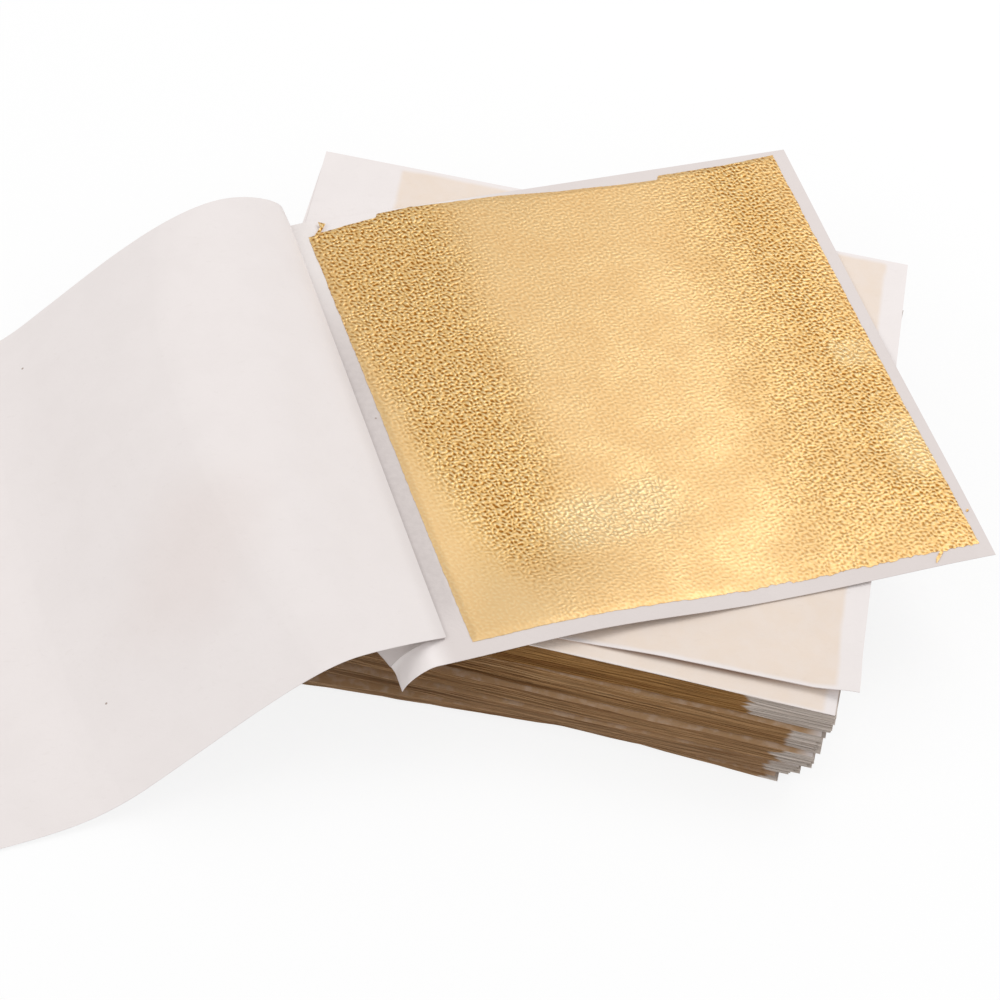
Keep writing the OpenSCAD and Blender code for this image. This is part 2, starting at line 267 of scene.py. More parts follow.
# Material nodes
class Nodes:
    """One material's nodes, with the object's coordinates as pos."""

    def __init__(self, name):
        self.m = bpy.data.materials.new(name)
        self.m.use_nodes = True
        self.t = self.m.node_tree
        self.t.nodes.clear()
        self.out = self.t.nodes.new("ShaderNodeOutputMaterial")
        self.bsdf = self.t.nodes.new("ShaderNodeBsdfPrincipled")
        self.t.links.new(self.bsdf.outputs[0], self.out.inputs[0])
        self.pos = self.t.nodes.new("ShaderNodeTexCoord").outputs["Object"]

    def put(self, sock, v):
        if isinstance(v, (int, float)):
            sock.default_value = v
        elif isinstance(v, (tuple, list)):
            sock.default_value = (*v, 1) if len(sock.default_value) == 4 and len(v) == 3 else v
        else:
            self.t.links.new(v, sock)

    def set(self, name, v):
        self.put(self.bsdf.inputs[name], v)

    def mapped(self, loc=(0, 0, 0), turn=0.0, scale=(1, 1, 1), kind="TEXTURE", vec=None):
        n = self.t.nodes.new("ShaderNodeMapping")
        n.vector_type = kind
        n.inputs["Location"].default_value = loc
        n.inputs["Rotation"].default_value = (0, 0, rad(turn))
        n.inputs["Scale"].default_value = scale
        self.t.links.new(vec or self.pos, n.inputs["Vector"])
        return n.outputs[0]

    def packet(self, at, turn):
        """Coordinates in the frame of a packet."""
        return self.mapped(loc=(at[0] * MM, at[1] * MM, 0), turn=turn)

    def xyz(self, vec):
        n = self.t.nodes.new("ShaderNodeSeparateXYZ")
        self.t.links.new(vec, n.inputs[0])
        return n.outputs

    def noise(self, scale, detail=3.0, rough=0.5, distort=0.0, vec=None):
        n = self.t.nodes.new("ShaderNodeTexNoise")
        n.inputs["Scale"].default_value = scale
        n.inputs["Detail"].default_value = detail
        n.inputs["Roughness"].default_value = rough
        n.inputs["Distortion"].default_value = distort
        self.t.links.new(vec or self.pos, n.inputs["Vector"])
        return n.outputs[0]

    def math(self, op, a, b=0.5):
        n = self.t.nodes.new("ShaderNodeMath")
        n.operation = op
        self.put(n.inputs[0], a)
        self.put(n.inputs[1], b)
        return n.outputs[0]

    def add(self, a, b):
        return self.math("ADD", a, b)

    def mul(self, a, b):
        return self.math("MULTIPLY", a, b)

    def most(self, a, b):
        return self.math("MAXIMUM", a, b)

    def ramp(self, v, lo, hi, a=0.0, b=1.0, soft=True):
        """From a at lo to b at hi, and level beyond."""
        n = self.t.nodes.new("ShaderNodeMapRange")
        n.interpolation_type = "SMOOTHSTEP" if soft else "LINEAR"
        self.put(n.inputs["Value"], v)
        for k, w in (("From Min", lo), ("From Max", hi), ("To Min", a), ("To Max", b)):
            n.inputs[k].default_value = w
        return n.outputs[0]

    def ramp_mm(self, v, lo, hi, a=0.0, b=1.0):
        return self.ramp(v, lo * MM, hi * MM, a, b)

    def window(self, v, lo, hi, soft):
        """1 between two places in mm, with soft edges that reach soft mm to each side."""
        a = self.ramp_mm(v, lo - soft, lo + soft)
        b = self.ramp_mm(v, hi - soft, hi + soft, 1.0, 0.0)
        return self.mul(a, b)

    def wobble(self, noise, reach):
        """A noise as a shift to either side, in all reach mm."""
        return self.mul(self.math("SUBTRACT", noise, 0.5), reach * MM)

    def ripples(self, vec, waves, scale, wobble):
        """Sum of sines, each [angle, period in mm], bent by its own noise; about -1 to 1."""
        total = 0.0
        for k, (angle, period) in enumerate(waves):
            dot = self.t.nodes.new("ShaderNodeVectorMath")
            dot.operation = "DOT_PRODUCT"
            self.t.links.new(vec, dot.inputs[0])
            f = 2 * math.pi / (period * MM)
            dot.inputs[1].default_value = (f * math.cos(rad(angle)), f * math.sin(rad(angle)), 0)
            apart = self.mapped(loc=(0.05 * k, 0.03 * k, 0.1 * k), kind="POINT", vec=vec)
            shift = self.mul(self.noise(scale, 1, vec=apart), wobble)
            wave = self.math("SINE", self.add(dot.outputs["Value"], shift))
            total = self.add(total, wave)
        return self.mul(total, 1 / len(waves))

    def dot(self, vec, at, radius):
        """1 inside a small round spot at a place in mm."""
        x, y, _ = self.xyz(vec)
        dx, dy = self.math("SUBTRACT", x, at[0] * MM), self.math("SUBTRACT", y, at[1] * MM)
        square = self.add(self.mul(dx, dx), self.mul(dy, dy))
        return self.ramp_mm(self.math("SQRT", square), 0.6 * radius, 1.3 * radius, 1.0, 0.0)

    def mix(self, f, a, b, kind="MIX"):
        n = self.t.nodes.new("ShaderNodeMix")
        n.data_type = "RGBA"
        n.blend_type = kind
        self.put(n.inputs[0], f)
        self.put(n.inputs[6], a)
        self.put(n.inputs[7], b)
        return n.outputs[2]

    def bump(self, h, strength, dist, prev=None):
        """Bump from a height, dist mm deep."""
        n = self.t.nodes.new("ShaderNodeBump")
        self.put(n.inputs["Strength"], strength)
        n.inputs["Distance"].default_value = dist * MM
        self.put(n.inputs["Height"], h)
        if prev is not None:
            self.t.links.new(prev, n.inputs["Normal"])
        return n.outputs[0]


# Colours
def srgb(r, g, b):
    """Linear colour from levels of 0 to 255."""
    def linear(c):
        return c / 12.92 if c <= 0.04045 else ((c + 0.055) / 1.055) ** 2.4
    return tuple(linear(c / 255) for c in (r, g, b))


TISSUE = srgb(236, 229, 227)
TISSUE_DIM = srgb(222, 213, 210)
TISSUE_LIT = srgb(246, 239, 237)
BEIGE = srgb(233, 217, 203)
# What clouds and specks leave of the tissue's colour
CLOUD_SHARE, SPECK_SHARE = (0.93, 0.925, 0.92), (0.86, 0.84, 0.82)
# The glued strip: grey that is part glue and part painted shade under the cover, and a paler tone
# towards its head
GLUE_AND_SHADE_GREY = srgb(206, 197, 194)
GLUE_AND_SHADE_HEAD = srgb(234, 227, 224)
# Painted shadow under the top packet's front edge
UNDER_EDGE_SHADOW_BROWN = srgb(150, 100, 62)
# Painted shade on the turned cover where the pile's corner shows through
COVER_SEE_THROUGH_SHADE = srgb(196, 160, 140)
DUST = srgb(168, 152, 143)
# The pile's edges: tan faces of painted shade and glow, browns near its top and near its foot, the
# top's darker as painted shade under the top packets, and the white beside them
LEDGE_SHADE_TAN = srgb(186, 150, 112)
EDGE_BROWNS = [
    (srgb(128, 88, 46), srgb(138, 104, 72)),
    (srgb(158, 118, 70), srgb(166, 132, 98)),
    (srgb(190, 152, 104), srgb(192, 160, 126)),
]
# Painted light for the pile's edges towards the left
EDGE_PAINTED_LIGHT = srgb(210, 178, 142)
EDGE_GREY, EDGE_WHITE = srgb(184, 173, 164), srgb(212, 201, 192)
GOLD_PALE = srgb(250, 210, 150)
GOLD_CLOUD = srgb(240, 198, 138)
# Painted highlight on the leaf
GOLD_HIGHLIGHT = srgb(255, 232, 184)
# Painted darker reflection in the leaf's side bands
GOLD_BAND_SHADE = srgb(234, 188, 104)
# Painted shade in the wrinkles' valleys
GOLD_VALLEY_SHADE = srgb(172, 106, 20)

# Tissue materials
CRINKLE, GLUED_CRINKLE = 0.2, 0.5
# How far the leaf's warm tone spreads past its foot under the two top tissues
SPREAD = {"second": 3.0, "top": 2.6}
# Dust: one speck beside the leaf [u, v] and two on the turned cover [x, y]
SPOT, COVER_SPOTS, SPOT_RADIUS = (-41.7, 1.3), ((-77.3, -2.9), (-48.1, -60.8)), 0.17


def tissue_finish(n, base, crinkle):
    """Fine fibres, faint clouds and soft crinkles over a base colour."""
    cloud = n.ramp(n.noise(140, 3, 0.6), 0.35, 0.65)
    fibre = n.noise(1600, 4, 0.7, 0.6, n.mapped(scale=(3, 1, 1), turn=20))
    c = n.mix(n.mul(cloud, 0.2), base, n.mix(1.0, base, CLOUD_SHARE, "MULTIPLY"))
    speck = n.ramp(fibre, 0.30, 0.42, 1.0, 0.0)
    c = n.mix(n.mul(speck, 0.18), c, n.mix(1.0, base, SPECK_SHARE, "MULTIPLY"))
    n.set("Base Color", c)
    n.set("Roughness", n.ramp(fibre, 0.3, 0.7, 0.55, 0.72))
    n.set("Specular IOR Level", 0.25)
    b = n.bump(n.noise(260, 4, 0.55, 0.8), crinkle, 0.4)
    n.set("Normal", n.bump(fibre, 0.12, 0.1, b))


def leaf_window(n, at, turn, cx, cy, leaf_h):
    """1 where the packet's leaf lies, from the packet's own place."""
    x, y, _ = n.xyz(n.packet(at, turn))
    wob = n.wobble(n.noise(120, 2), 1.2)
    x, y = n.add(x, wob), n.add(y, wob)
    wx = n.window(x, cx - LEAF_W / 2, cx + LEAF_W / 2, 0.5)
    wy = n.window(y, cy - leaf_h / 2, cy + leaf_h / 2, 0.5)
    return n.mul(wx, wy)


def mat_tissue_over_leaf(name, at, turn, cx, cy, spread, shadow_under_top):
    """A closed packet's face: beige over the leaf, and a painted shadow, brown, under the front
    edge of the packet above it.
    """
    n = Nodes(name)
    w = leaf_window(n, at, turn, cx, cy - spread / 2, LEAF_H + spread)
    mottle = n.ramp(n.noise(300, 4, 0.6), 0.3, 0.7, 0.8, 1.0)
    base = n.mix(n.mul(w, mottle), TISSUE, BEIGE)
    if shadow_under_top:
        # Painted shadow: a brown line on this packet just under the top packet's front edge, fading
        # out to the right
        x, y, _ = n.xyz(n.packet(TOP_AT, TOP_TURN))
        line = n.window(y, -PAPER_H / 2 - 0.1, -PAPER_H / 2 + 1.5, 0.5)
        line = n.mul(line, n.ramp_mm(x, 30, 42, 0.6, 0.0))
        base = n.mix(line, base, UNDER_EDGE_SHADOW_BROWN)
    tissue_finish(n, base, CRINKLE)
    return n.m


def mat_edges(name, at, turn, end, tone, trim):
    """Cut edges of the pile: brown and streaked where leaf lies between, white beside it."""
    n = Nodes(name)
    cx = end * LEAF_DX
    x = n.xyz(n.packet(at, turn))[0]
    level = n.mapped(scale=(60, 60, 1))
    x = n.add(x, n.wobble(n.noise(900, 2, vec=level), 7))
    span = n.window(x, cx - LEAF_W / 2, cx + LEAF_W / 2 + trim, 0.5)
    broad = n.noise(420, 2, 0.5, vec=n.mapped(scale=(40, 40, 1), loc=(0, 0, 0.01)))
    bands = n.noise(1500, 2, 0.5, vec=level)
    lines = n.noise(4200, 2, 0.5, vec=n.mapped(scale=(80, 80, 1)))
    mixed = n.add(n.mul(broad, 0.4), n.mul(bands, 0.4))
    mixed = n.add(mixed, n.mul(lines, 0.2))
    # Leaf brown, darker towards the top of the pile as painted shade under the top packets
    dark, mid, pale = [n.mix(tone, a, b) for a, b in EDGE_BROWNS]
    brown = n.mix(n.ramp(mixed, 0.36, 0.50), dark, mid)
    brown = n.mix(n.ramp(mixed, 0.52, 0.70), brown, pale)
    # Painted light: paler towards the left, where the turned cover shades the edges
    brown = n.mix(n.ramp_mm(x, -34, -8, 0.6, 0.0), brown, EDGE_PAINTED_LIGHT)
    white = n.mix(n.ramp(mixed, 0.38, 0.62), EDGE_GREY, EDGE_WHITE)
    n.set("Base Color", n.mix(span, white, brown))
    n.set("Roughness", n.ramp(lines, 0.3, 0.7, 0.6, 0.8))
    n.set("Specular IOR Level", 0.15)
    n.set("Normal", n.bump(mixed, 0.4, 0.2))
    return n.m


def mat_run_top(name, at, turn, end):
    """Faces of the pile's packets: painted shade and warm glow, tan, along the edge where leaf
    lies, paler inside.
    """
    n = Nodes(name)
    x, y, _ = n.xyz(n.packet(at, turn))
    cx = end * LEAF_DX
    span = n.window(x, cx - LEAF_W / 2, cx + LEAF_W / 2, 1.5)
    deep = n.ramp_mm(n.math("ABSOLUTE", y), PAPER_H / 2 - 6, PAPER_H / 2 - 2)
    # Painted shade and warm glow: tan near the edges where leaf lies
    tan = n.mul(n.mul(span, deep), n.ramp(n.noise(500, 3, 0.6), 0.3, 0.6, 0.7, 1.0))
    tissue_finish(n, n.mix(tan, n.mix(span, TISSUE_DIM, BEIGE), LEDGE_SHADE_TAN), CRINKLE)
    return n.m


def glue_and_shade_tone(n):
    """The glued strip's grey, part glue and part painted shade under the cover, paler towards the
    head.
    """
    v = n.xyz(n.packet(OPEN_AT, OPEN_TURN))[1]
    return n.mix(n.ramp_mm(v, 8, 36), GLUE_AND_SHADE_GREY, GLUE_AND_SHADE_HEAD)


def mat_open_backing(name):
    """Open packet's backing: greyer beside the leaf with glue and painted shade, painted lighter at
    its flap, and pale at its left head.
    """
    n = Nodes(name)
    local = n.packet(OPEN_AT, OPEN_TURN)
    u, v, _ = n.xyz(local)
    # Part glue, part painted shade: greyer and blotched beside the leaf
    strip_edge = n.add(u, n.mul(n.noise(900, 3, 0.6), 0.8 * MM))
    glue_and_shade = n.ramp_mm(strip_edge, -39.6, -40.6)
    blots = n.ramp(n.noise(1100, 4, 0.65), 0.3, 0.7, 0.6, 1.0)
    glue_and_shade = n.mul(glue_and_shade, n.ramp_mm(v, STRIP_V - 6, STRIP_V + 1))
    pale = n.mul(n.ramp_mm(u, -24, -2, 1.0, 0.0), n.ramp_mm(v, 18, 36))
    # Painted light: the fallen flap is lighter against the shade of the cover and the fold
    flap_painted_light = n.mul(n.ramp_mm(u, -47, -43, 1.0, 0.0), n.ramp_mm(v, -40, -35, 1.0, 0.0))
    tone = n.mix(flap_painted_light, n.mix(pale, TISSUE_DIM, TISSUE), TISSUE_LIT)
    tone = n.mix(n.mul(glue_and_shade, blots), tone, glue_and_shade_tone(n))
    tissue_finish(n, n.mix(n.dot(local, SPOT, SPOT_RADIUS), tone, DUST), CRINKLE)
    return n.m


def mat_glued_margin(name):
    n = Nodes(name)
    tissue_finish(n, glue_and_shade_tone(n), GLUED_CRINKLE)
    return n.m


def mat_cover(name):
    """The turned cover, with painted shade, faintly brown, where the pile's corner shows through,
    and painted shade along the crease.
    """
    n = Nodes(name)
    x, y, _ = n.xyz(n.pos)
    # Painted shade, faintly brown, over the pile's front left corner
    near = n.mul(n.window(x, -48, -33, 6), n.window(y, -52, -30, 7))
    u = n.xyz(n.packet(OPEN_AT, OPEN_TURN))[0]
    # Painted shade along the crease, in the glued strip's grey
    crease_shade = n.ramp_mm(u, CREASE_U - 2.5, CREASE_U - 0.2)
    c = n.mix(n.mul(near, 0.10), TISSUE, COVER_SEE_THROUGH_SHADE)
    c = n.mix(n.mul(crease_shade, 0.3), c, glue_and_shade_tone(n))
    for spot in COVER_SPOTS:
        c = n.mix(n.dot(n.pos, spot, SPOT_RADIUS), c, DUST)
    tissue_finish(n, c, CRINKLE)
    return n.m


# Gold leaf. Directions and periods (mm) of its fine wrinkles, and the noise that bends them
RIPPLES = [(60, 0.76), (30, 0.68), (88, 0.78), (2, 0.8), (118, 0.9)]
RIPPLE_NOISE, RIPPLE_WOBBLE = 520, 13
# Painted highlights where the leaf catches the light: [u, v, half width, half height]
SHINES = [(35.5, -2, 3, 3), (39, -22, 5, 6), (-12, -25, 10, 5)]


def gold_shade_bands(n, v, uw, vw):
    """The bands of painted darker reflection that run up the leaf's left and right."""
    left = n.mul(n.ramp_mm(n.add(uw, n.mul(v, 0.12)), -42, -34),
                 n.ramp_mm(uw, -25, -13, 1.0, 0.0))
    left = n.mul(left, n.ramp_mm(vw, -38, -24))
    right = n.ramp_mm(n.math("SUBTRACT", uw, n.mul(v, 0.08)), 9, 26, 0.0, 0.72)
    core = n.window(n.add(uw, n.mul(v, 0.08)), 29, 38, 3)
    right = n.add(right, n.mul(core, 0.28))
    right = n.mul(right, n.ramp_mm(vw, -46, -26, 0.6, 1.0))
    return n.most(left, right)


def gold_shine(n, uw, vw):
    """The bright patches, painted highlights."""
    shine = 0.0
    for cu, cv, ru, rv in SHINES:
        patch = n.mul(n.window(uw, cu - ru, cu + ru, ru * 0.5),
                      n.window(vw, cv - rv, cv + rv, rv * 0.5))
        shine = n.most(shine, patch)
    return shine


def mat_gold(name, at=OPEN_AT, turn=OPEN_TURN):
    """Beaten leaf: finely wrinkled all over, with painted shade in the valleys, deepest towards two
    sides, painted darker reflection in those side bands, and painted highlights.
    """
    n = Nodes(name)
    local = n.packet(at, turn)
    u, v, _ = n.xyz(local)
    wob = n.wobble(n.noise(60, 3, vec=local), 7)
    uw, vw = n.add(u, wob), n.add(v, wob)
    band = gold_shade_bands(n, v, uw, vw)
    shine = gold_shine(n, uw, vw)
    worm = n.ripples(local, RIPPLES, RIPPLE_NOISE, RIPPLE_WOBBLE)
    valley_shade = n.ramp(worm, -0.46, -0.08, 1.0, 0.0)
    ridge_highlight = n.ramp(worm, 0.06, 0.44)
    # Smooth along the lower left edge, and paler there with a little of the painted highlight
    # colour
    smoothed = n.ramp_mm(n.add(uw, n.mul(v, 0.28)), -42, -35, 1.0, 0.0)
    plain = n.ramp(smoothed, 0, 1, 1.0, 0.3, False)
    clouds = n.ramp(n.noise(110, 3, 0.55, vec=local), 0.35, 0.65)
    c = n.mix(n.mul(clouds, 0.3), GOLD_PALE, GOLD_CLOUD)
    # Painted darker reflection in the bands
    c = n.mix(n.mul(band, 0.5), c, GOLD_BAND_SHADE)
    # Painted highlights on the bright patches and along the smooth lower left edge
    c = n.mix(n.most(n.mul(shine, 0.22), n.mul(smoothed, 0.12)), c, GOLD_HIGHLIGHT)
    # Painted shade in the wrinkles' valleys, deepest in the bands and faint in the bright patches
    valley_shade_depth = n.mul(n.ramp(band, 0, 1, 0.16, 0.94, False), n.ramp(shine, 0, 1, 1.0, 0.35, False))
    valley_shade_depth = n.mul(valley_shade_depth, plain)
    c = n.mix(n.mul(valley_shade, valley_shade_depth), c, GOLD_VALLEY_SHADE)
    # Painted highlights on the ridges, strongest in the bands and bright patches
    glint = n.most(n.mul(band, 0.6), n.mul(shine, 0.9))
    c = n.mix(n.mul(ridge_highlight, n.most(glint, 0.3)), c, GOLD_HIGHLIGHT)
    n.set("Base Color", c)
    n.set("Metallic", 1.0)
    n.set("Roughness", n.ramp(clouds, 0, 1, 0.38, 0.46))
    strength = n.ramp(n.most(band, shine), 0, 1, 0.35, 1.0, False)
    n.set("Normal", n.bump(worm, n.mul(strength, plain), 0.07))
    return n.m


# The camera, solved from the photograph: angles in degrees, places in metres, lens in pixels
CAM_ELEVATION, CAM_AZIMUTH, CAM_ROLL = 50.05, 2.1 + TOP_TURN, 9.58
CAM_TARGET, CAM_DISTANCE = (0.00075, -0.01814, TOP * MM), 0.472
CAM_FOCAL, FRAME, SENSOR = 3155, 1000, 36


def set_camera():
    el, az, roll = rad(CAM_ELEVATION), rad(CAM_AZIMUTH), rad(CAM_ROLL)
    back = Vector((math.sin(az) * math.cos(el), -math.cos(az) * math.cos(el), math.sin(el)))
    right = Vector((math.cos(az), math.sin(az), 0))
    up = right.cross(-back)
    r2 = right * math.cos(roll) + up * math.sin(roll)
    u2 = -right * math.sin(roll) + up * math.cos(roll)
    cam = bpy.data.cameras.new("camera")
    cam.sensor_width = SENSOR
    cam.lens = CAM_FOCAL / FRAME * SENSOR
    cam.clip_start, cam.clip_end = 0.01, 20
    ob = bpy.data.objects.new("camera", cam)
    bpy.context.scene.collection.objects.link(ob)
    m = Matrix((r2, u2, back)).transposed().to_4x4()
    m.translation = Vector(CAM_TARGET) + back * CAM_DISTANCE
    ob.matrix_world = m
    bpy.context.scene.camera = ob


set_camera()

# The closed pile
TURNED_LOW = FIRST["turned"] * PITCH
# How far its front right corner droops, and how far its sheets lie uneven
DROOP, UNEVEN = 0.35, 0.08
# The highest packet of each twisted or shifted run shows its top face
RUN_TOPS = [0, SKEWED, SKEWED + ASKEW, *(FIRST[g] - 1 for g in ("lower", "middle", "turned"))]
RUN_FEET = [0] + [i + 1 for i in RUN_TOPS]
# How far the sheets' left back corners draw in under the packet above
BACK_TUCK = {"base": 2.2, "lower": 1.0, "middle": 0.8, "turned": 0.7}
# How far each group's edges take the tone of the pile's foot, away from the top's darker browns of
# painted shade
EDGE_SHADE_TONE = {"base": 1.0, "lower": 0.75, "middle": 0.5, "turned": 0.0}
# How much further out the leaf's brown reaches at the right of each group's edges
TRIM = {"base": -1.5, "lower": -3.0, "middle": -3.8, "turned": 1.7}
# Points along a side, and how far in a sheet's inner ring lies
SIDE_POINTS, INNER = 28, 5.0
# Kinds of sheet, which seed their uneven edges
BACKING, COVER, LEAF = 0, 3, 5


def ring(w, h, n_side):
    """Points round a rectangle, n_side to a side, starting front left."""
    t = np.arange(n_side) / n_side
    ones = np.ones(n_side)
    xs = np.concatenate([-w / 2 + w * t, ones * w / 2, w / 2 - w * t, -ones * w / 2])
    ys = np.concatenate([-ones * h / 2, -h / 2 + h * t, ones * h / 2, h / 2 - h * t])
    return xs, ys


def corner_droop(lx, ly):
    """How far a packet's front right corner droops."""
    return DROOP * smooth((lx - 18) / 30) * smooth((-ly - 14) / 30)


def pile_lift(x, y, z, near_edge):
    """One smooth field moves all the pile's sheets together, so none meets the next."""
    s = (np.sin(x * 0.11 + z * 0.9) * np.sin(y * 0.09 - z * 0.7)
         + 0.6 * np.sin(x * 0.23 - z * 1.3 + 1.0) + 0.4 * np.sin(x * 0.41 + y * 0.3 + z * 1.9))
    level = np.clip(z / 1.5, 0, 1) * np.clip((TOP - PITCH * 3 - z) / 1.5, 0, 1)
    c, k = math.cos(rad(SECOND_TURN)), math.sin(rad(SECOND_TURN))
    dx, dy = x - SECOND_AT[0], y - SECOND_AT[1]
    part = smooth((z - TURNED_LOW) / (TOP - 2 * PITCH - TURNED_LOW))
    return UNEVEN * s * level * near_edge - part * corner_droop(dx * c + dy * k, -dx * k + dy * c)


def pile_sheets(name, g, size, shift, z_in, thick, kind):
    """All sheets of one kind in a group, with slightly uneven edges."""
    verts, faces, slots = [], [], []
    for i in range(FIRST[g], FIRST[g] + COUNTS[g]):
        px, py, turn, end = place(i)
        rng = np.random.RandomState(1000 + i * 7 + kind)
        c, s = math.cos(rad(turn)), math.sin(rad(turn))
        xs, ys = ring(*size, SIDE_POINTS)
        ang = np.arctan2(ys, xs)
        edge = (0.10 * np.sin(ang * 9 + rng.uniform(0, 6))
                + 0.07 * np.sin(ang * 23 + rng.uniform(0, 6)))
        base = len(verts)
        for inset in (0.12 - edge, INNER):
            lx = xs * (1 - 2 * inset / size[0]) + end * shift[0]
            ly = ys * (1 - 2 * inset / size[1]) + end * shift[1]
            deep = np.minimum(PAPER_W / 2 - np.abs(lx), PAPER_H / 2 - np.abs(ly))
            near_edge = 1 - 0.75 * np.clip(deep / INNER, 0, 1)
            lx = lx + BACK_TUCK[g] * smooth((ly - 12) / 30) * np.clip(-lx / 40, 0, 1)
            wx, wy = px + lx * c - ly * s, py + lx * s + ly * c
            for z in (i * PITCH + z_in, i * PITCH + z_in + thick):
                wz = z + pile_lift(wx, wy, z, near_edge)
                verts.extend(np.stack([wx, wy, wz], 1).tolist())
        m = 4 * SIDE_POINTS
        o_lo, o_hi, i_lo, i_hi = base, base + m, base + 2 * m, base + 3 * m
        top_slot = 1 if i in RUN_TOPS and kind == COVER else 0
        foot_slot = 1 if i in RUN_FEET and kind == BACKING else 0
        for k in range(m):
            q = (k + 1) % m
            faces.append([o_lo + k, o_lo + q, o_hi + q, o_hi + k])
            faces.append([o_hi + k, o_hi + q, i_hi + q, i_hi + k])
            faces.append([o_lo + q, o_lo + k, i_lo + k, i_lo + q])
            slots += [0, top_slot, foot_slot]
        faces.append([i_hi + k for k in range(m)])
        faces.append([i_lo + k for k in range(m - 1, -1, -1)])
        slots += [1, 1]
    ob = solid(name, np.array(verts) * MM, faces)
    ob.data.polygons.foreach_set("material_index", slots)
    return ob


gold_inside = mat_gold("leaf_in_pile", (0, 0), 0)
for g in EDGE_SHADE_TONE:
    px, py, turn, end = place(FIRST[g] + COUNTS[g] // 2)
    edges = mat_edges(g + "_edges", (px, py), turn, end, EDGE_SHADE_TONE[g], TRIM[g])
    faces_mat = mat_run_top(g + "_faces", (px, py), turn, end)
    for kind, label, z_in in ((BACKING, "backing", 0.0), (COVER, "cover", TISSUE_T + LEAF_T)):
        ob = pile_sheets(f"{g}_{label}_sheets", g, (PAPER_W, PAPER_H), (0, 0), z_in, TISSUE_T, kind)
        ob.data.materials.append(edges)
        ob.data.materials.append(faces_mat)
        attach(ob, g + "_packets")
        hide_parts(f"{g}_{label}_tissues")
    ob = pile_sheets(f"{g}_leaf_sheets", g, (LEAF_W, LEAF_H), (LEAF_DX, LEAF_DY), TISSUE_T, LEAF_T,
                     LEAF)
    ob.data.materials.append(gold_inside)
    ob.data.materials.append(gold_inside)
    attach(ob, g + "_packets")
    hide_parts(f"{g}_gold_leaves")

# The two top closed packets
FLAT_POINTS = 97, 89
TOP_CURL, TOP_FRONT, TOP_UNEVEN = 0.9, 0.6, 0.03


def flat_grid(at, turn, w, h, cx, cy, z, warp):
    """A closed packet's sheet at height z, moved up or down by warp(u, v)."""
    u = np.linspace(-w / 2, w / 2, FLAT_POINTS[0])[:, None] + cx
    v = np.linspace(-h / 2, h / 2, FLAT_POINTS[1])[None, :] + cy
    u, v = np.broadcast_arrays(u, v)
    c, s = math.cos(rad(turn)), math.sin(rad(turn))
    return np.stack([at[0] + u * c - v * s, at[1] + u * s + v * c, z + warp(u, v)], -1)


def top_warp(u, v):
    """The top packet follows the one below and curls up at its right front corner."""
    curl = smooth((u - 41) / 7) * smooth((-v - 36) / 8)
    front = smooth((u - 5) / 15) * smooth((-v - 35) / 8)
    uneven = np.abs(soft_noise(u / 14 + 3, v / 14))
    return TOP_CURL * curl + TOP_FRONT * front - 0.8 * corner_droop(u, v) + TOP_UNEVEN * uneven


def second_warp(u, v):
    return -corner_droop(u, v)


CLOSED_TOP = (("second", SECOND_AT, SECOND_TURN, 0, second_warp),
              ("top", TOP_AT, TOP_TURN, TOP_LEAF_SHIFT, top_warp))
for g, at, turn, shift, warp in CLOSED_TOP:
    z0 = FIRST[g] * PITCH
    finish = mat_tissue_over_leaf(g + "_faces", at, turn, LEAF_DX + shift, LEAF_DY, SPREAD[g],
                                  g == "second")
    for label, z_in in (("backing", 0.0), ("cover", TISSUE_T + LEAF_T)):
        lo = flat_grid(at, turn, PAPER_W, PAPER_H, 0, 0, z0 + z_in, warp)
        hi = flat_grid(at, turn, PAPER_W, PAPER_H, 0, 0, z0 + z_in + TISSUE_T, warp)
        ob = grid_sheet(f"{g}_{label}_sheet", lo, hi)
        ob.data.materials.append(finish)
        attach(ob, g + "_packet")
        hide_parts(f"{g}_{label}_tissue")
    leaf_at = (LEAF_W, LEAF_H, LEAF_DX + shift, LEAF_DY)
    lo = flat_grid(at, turn, *leaf_at, z0 + TISSUE_T, warp)
    hi = flat_grid(at, turn, *leaf_at, z0 + TISSUE_T + LEAF_T, warp)
    ob = grid_sheet(g + "_leaf_sheet", lo, hi)
    ob.data.materials.append(gold_inside)
    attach(ob, g + "_packet")
    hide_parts(g + "_gold_leaf")


# The open packet
def uv_grid(u0, u1, v0, v1, nu, nv):
    """Even steps over a rectangle: nu cells by nv."""
    u = np.linspace(u0, u1, nu + 1)[:, None]
    v = np.linspace(v0, v1, nv + 1)[None, :]
    return np.broadcast_arrays(u, v)


def lay(name, u, v, up, thick, extra=0.0):
    """A sheet up mm over the open packet's form."""
    x, y, z = open_point(u, v, up)
    lo = to_world(x, y, z + extra)
    x, y, z = open_point(u, v, up + thick)
    return grid_sheet(name, lo, to_world(x, y, z + extra))


u, v = uv_grid(LEFT, RIGHT, FOOT_V, HEAD_V, 150, 130)
backing = lay("backing_sheet", u, v, OPEN_GAP, FORM_T)
backing.data.materials.append(mat_open_backing("open_backing"))
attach(backing, "open_packet")
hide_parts("open_backing_tissue")

u, v = uv_grid(LEFT, CREASE_U - 0.2, COVER_FOOT, COVER_HEAD, 30, 130)
margin = lay("glued_margin_sheet", u, v, LEAF_UP, FORM_T, 0.02 * soft_noise(u / 2, v / 2))
margin.data.materials.append(mat_glued_margin("glued_margin"))
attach(margin, "open_packet")
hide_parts("open_glued_margin")

# The bare leaf: torn edges and soft wrinkles in the mesh, fine ones in the material
LEAF_CELLS, BARE_LEAF_T = 300, 0.03
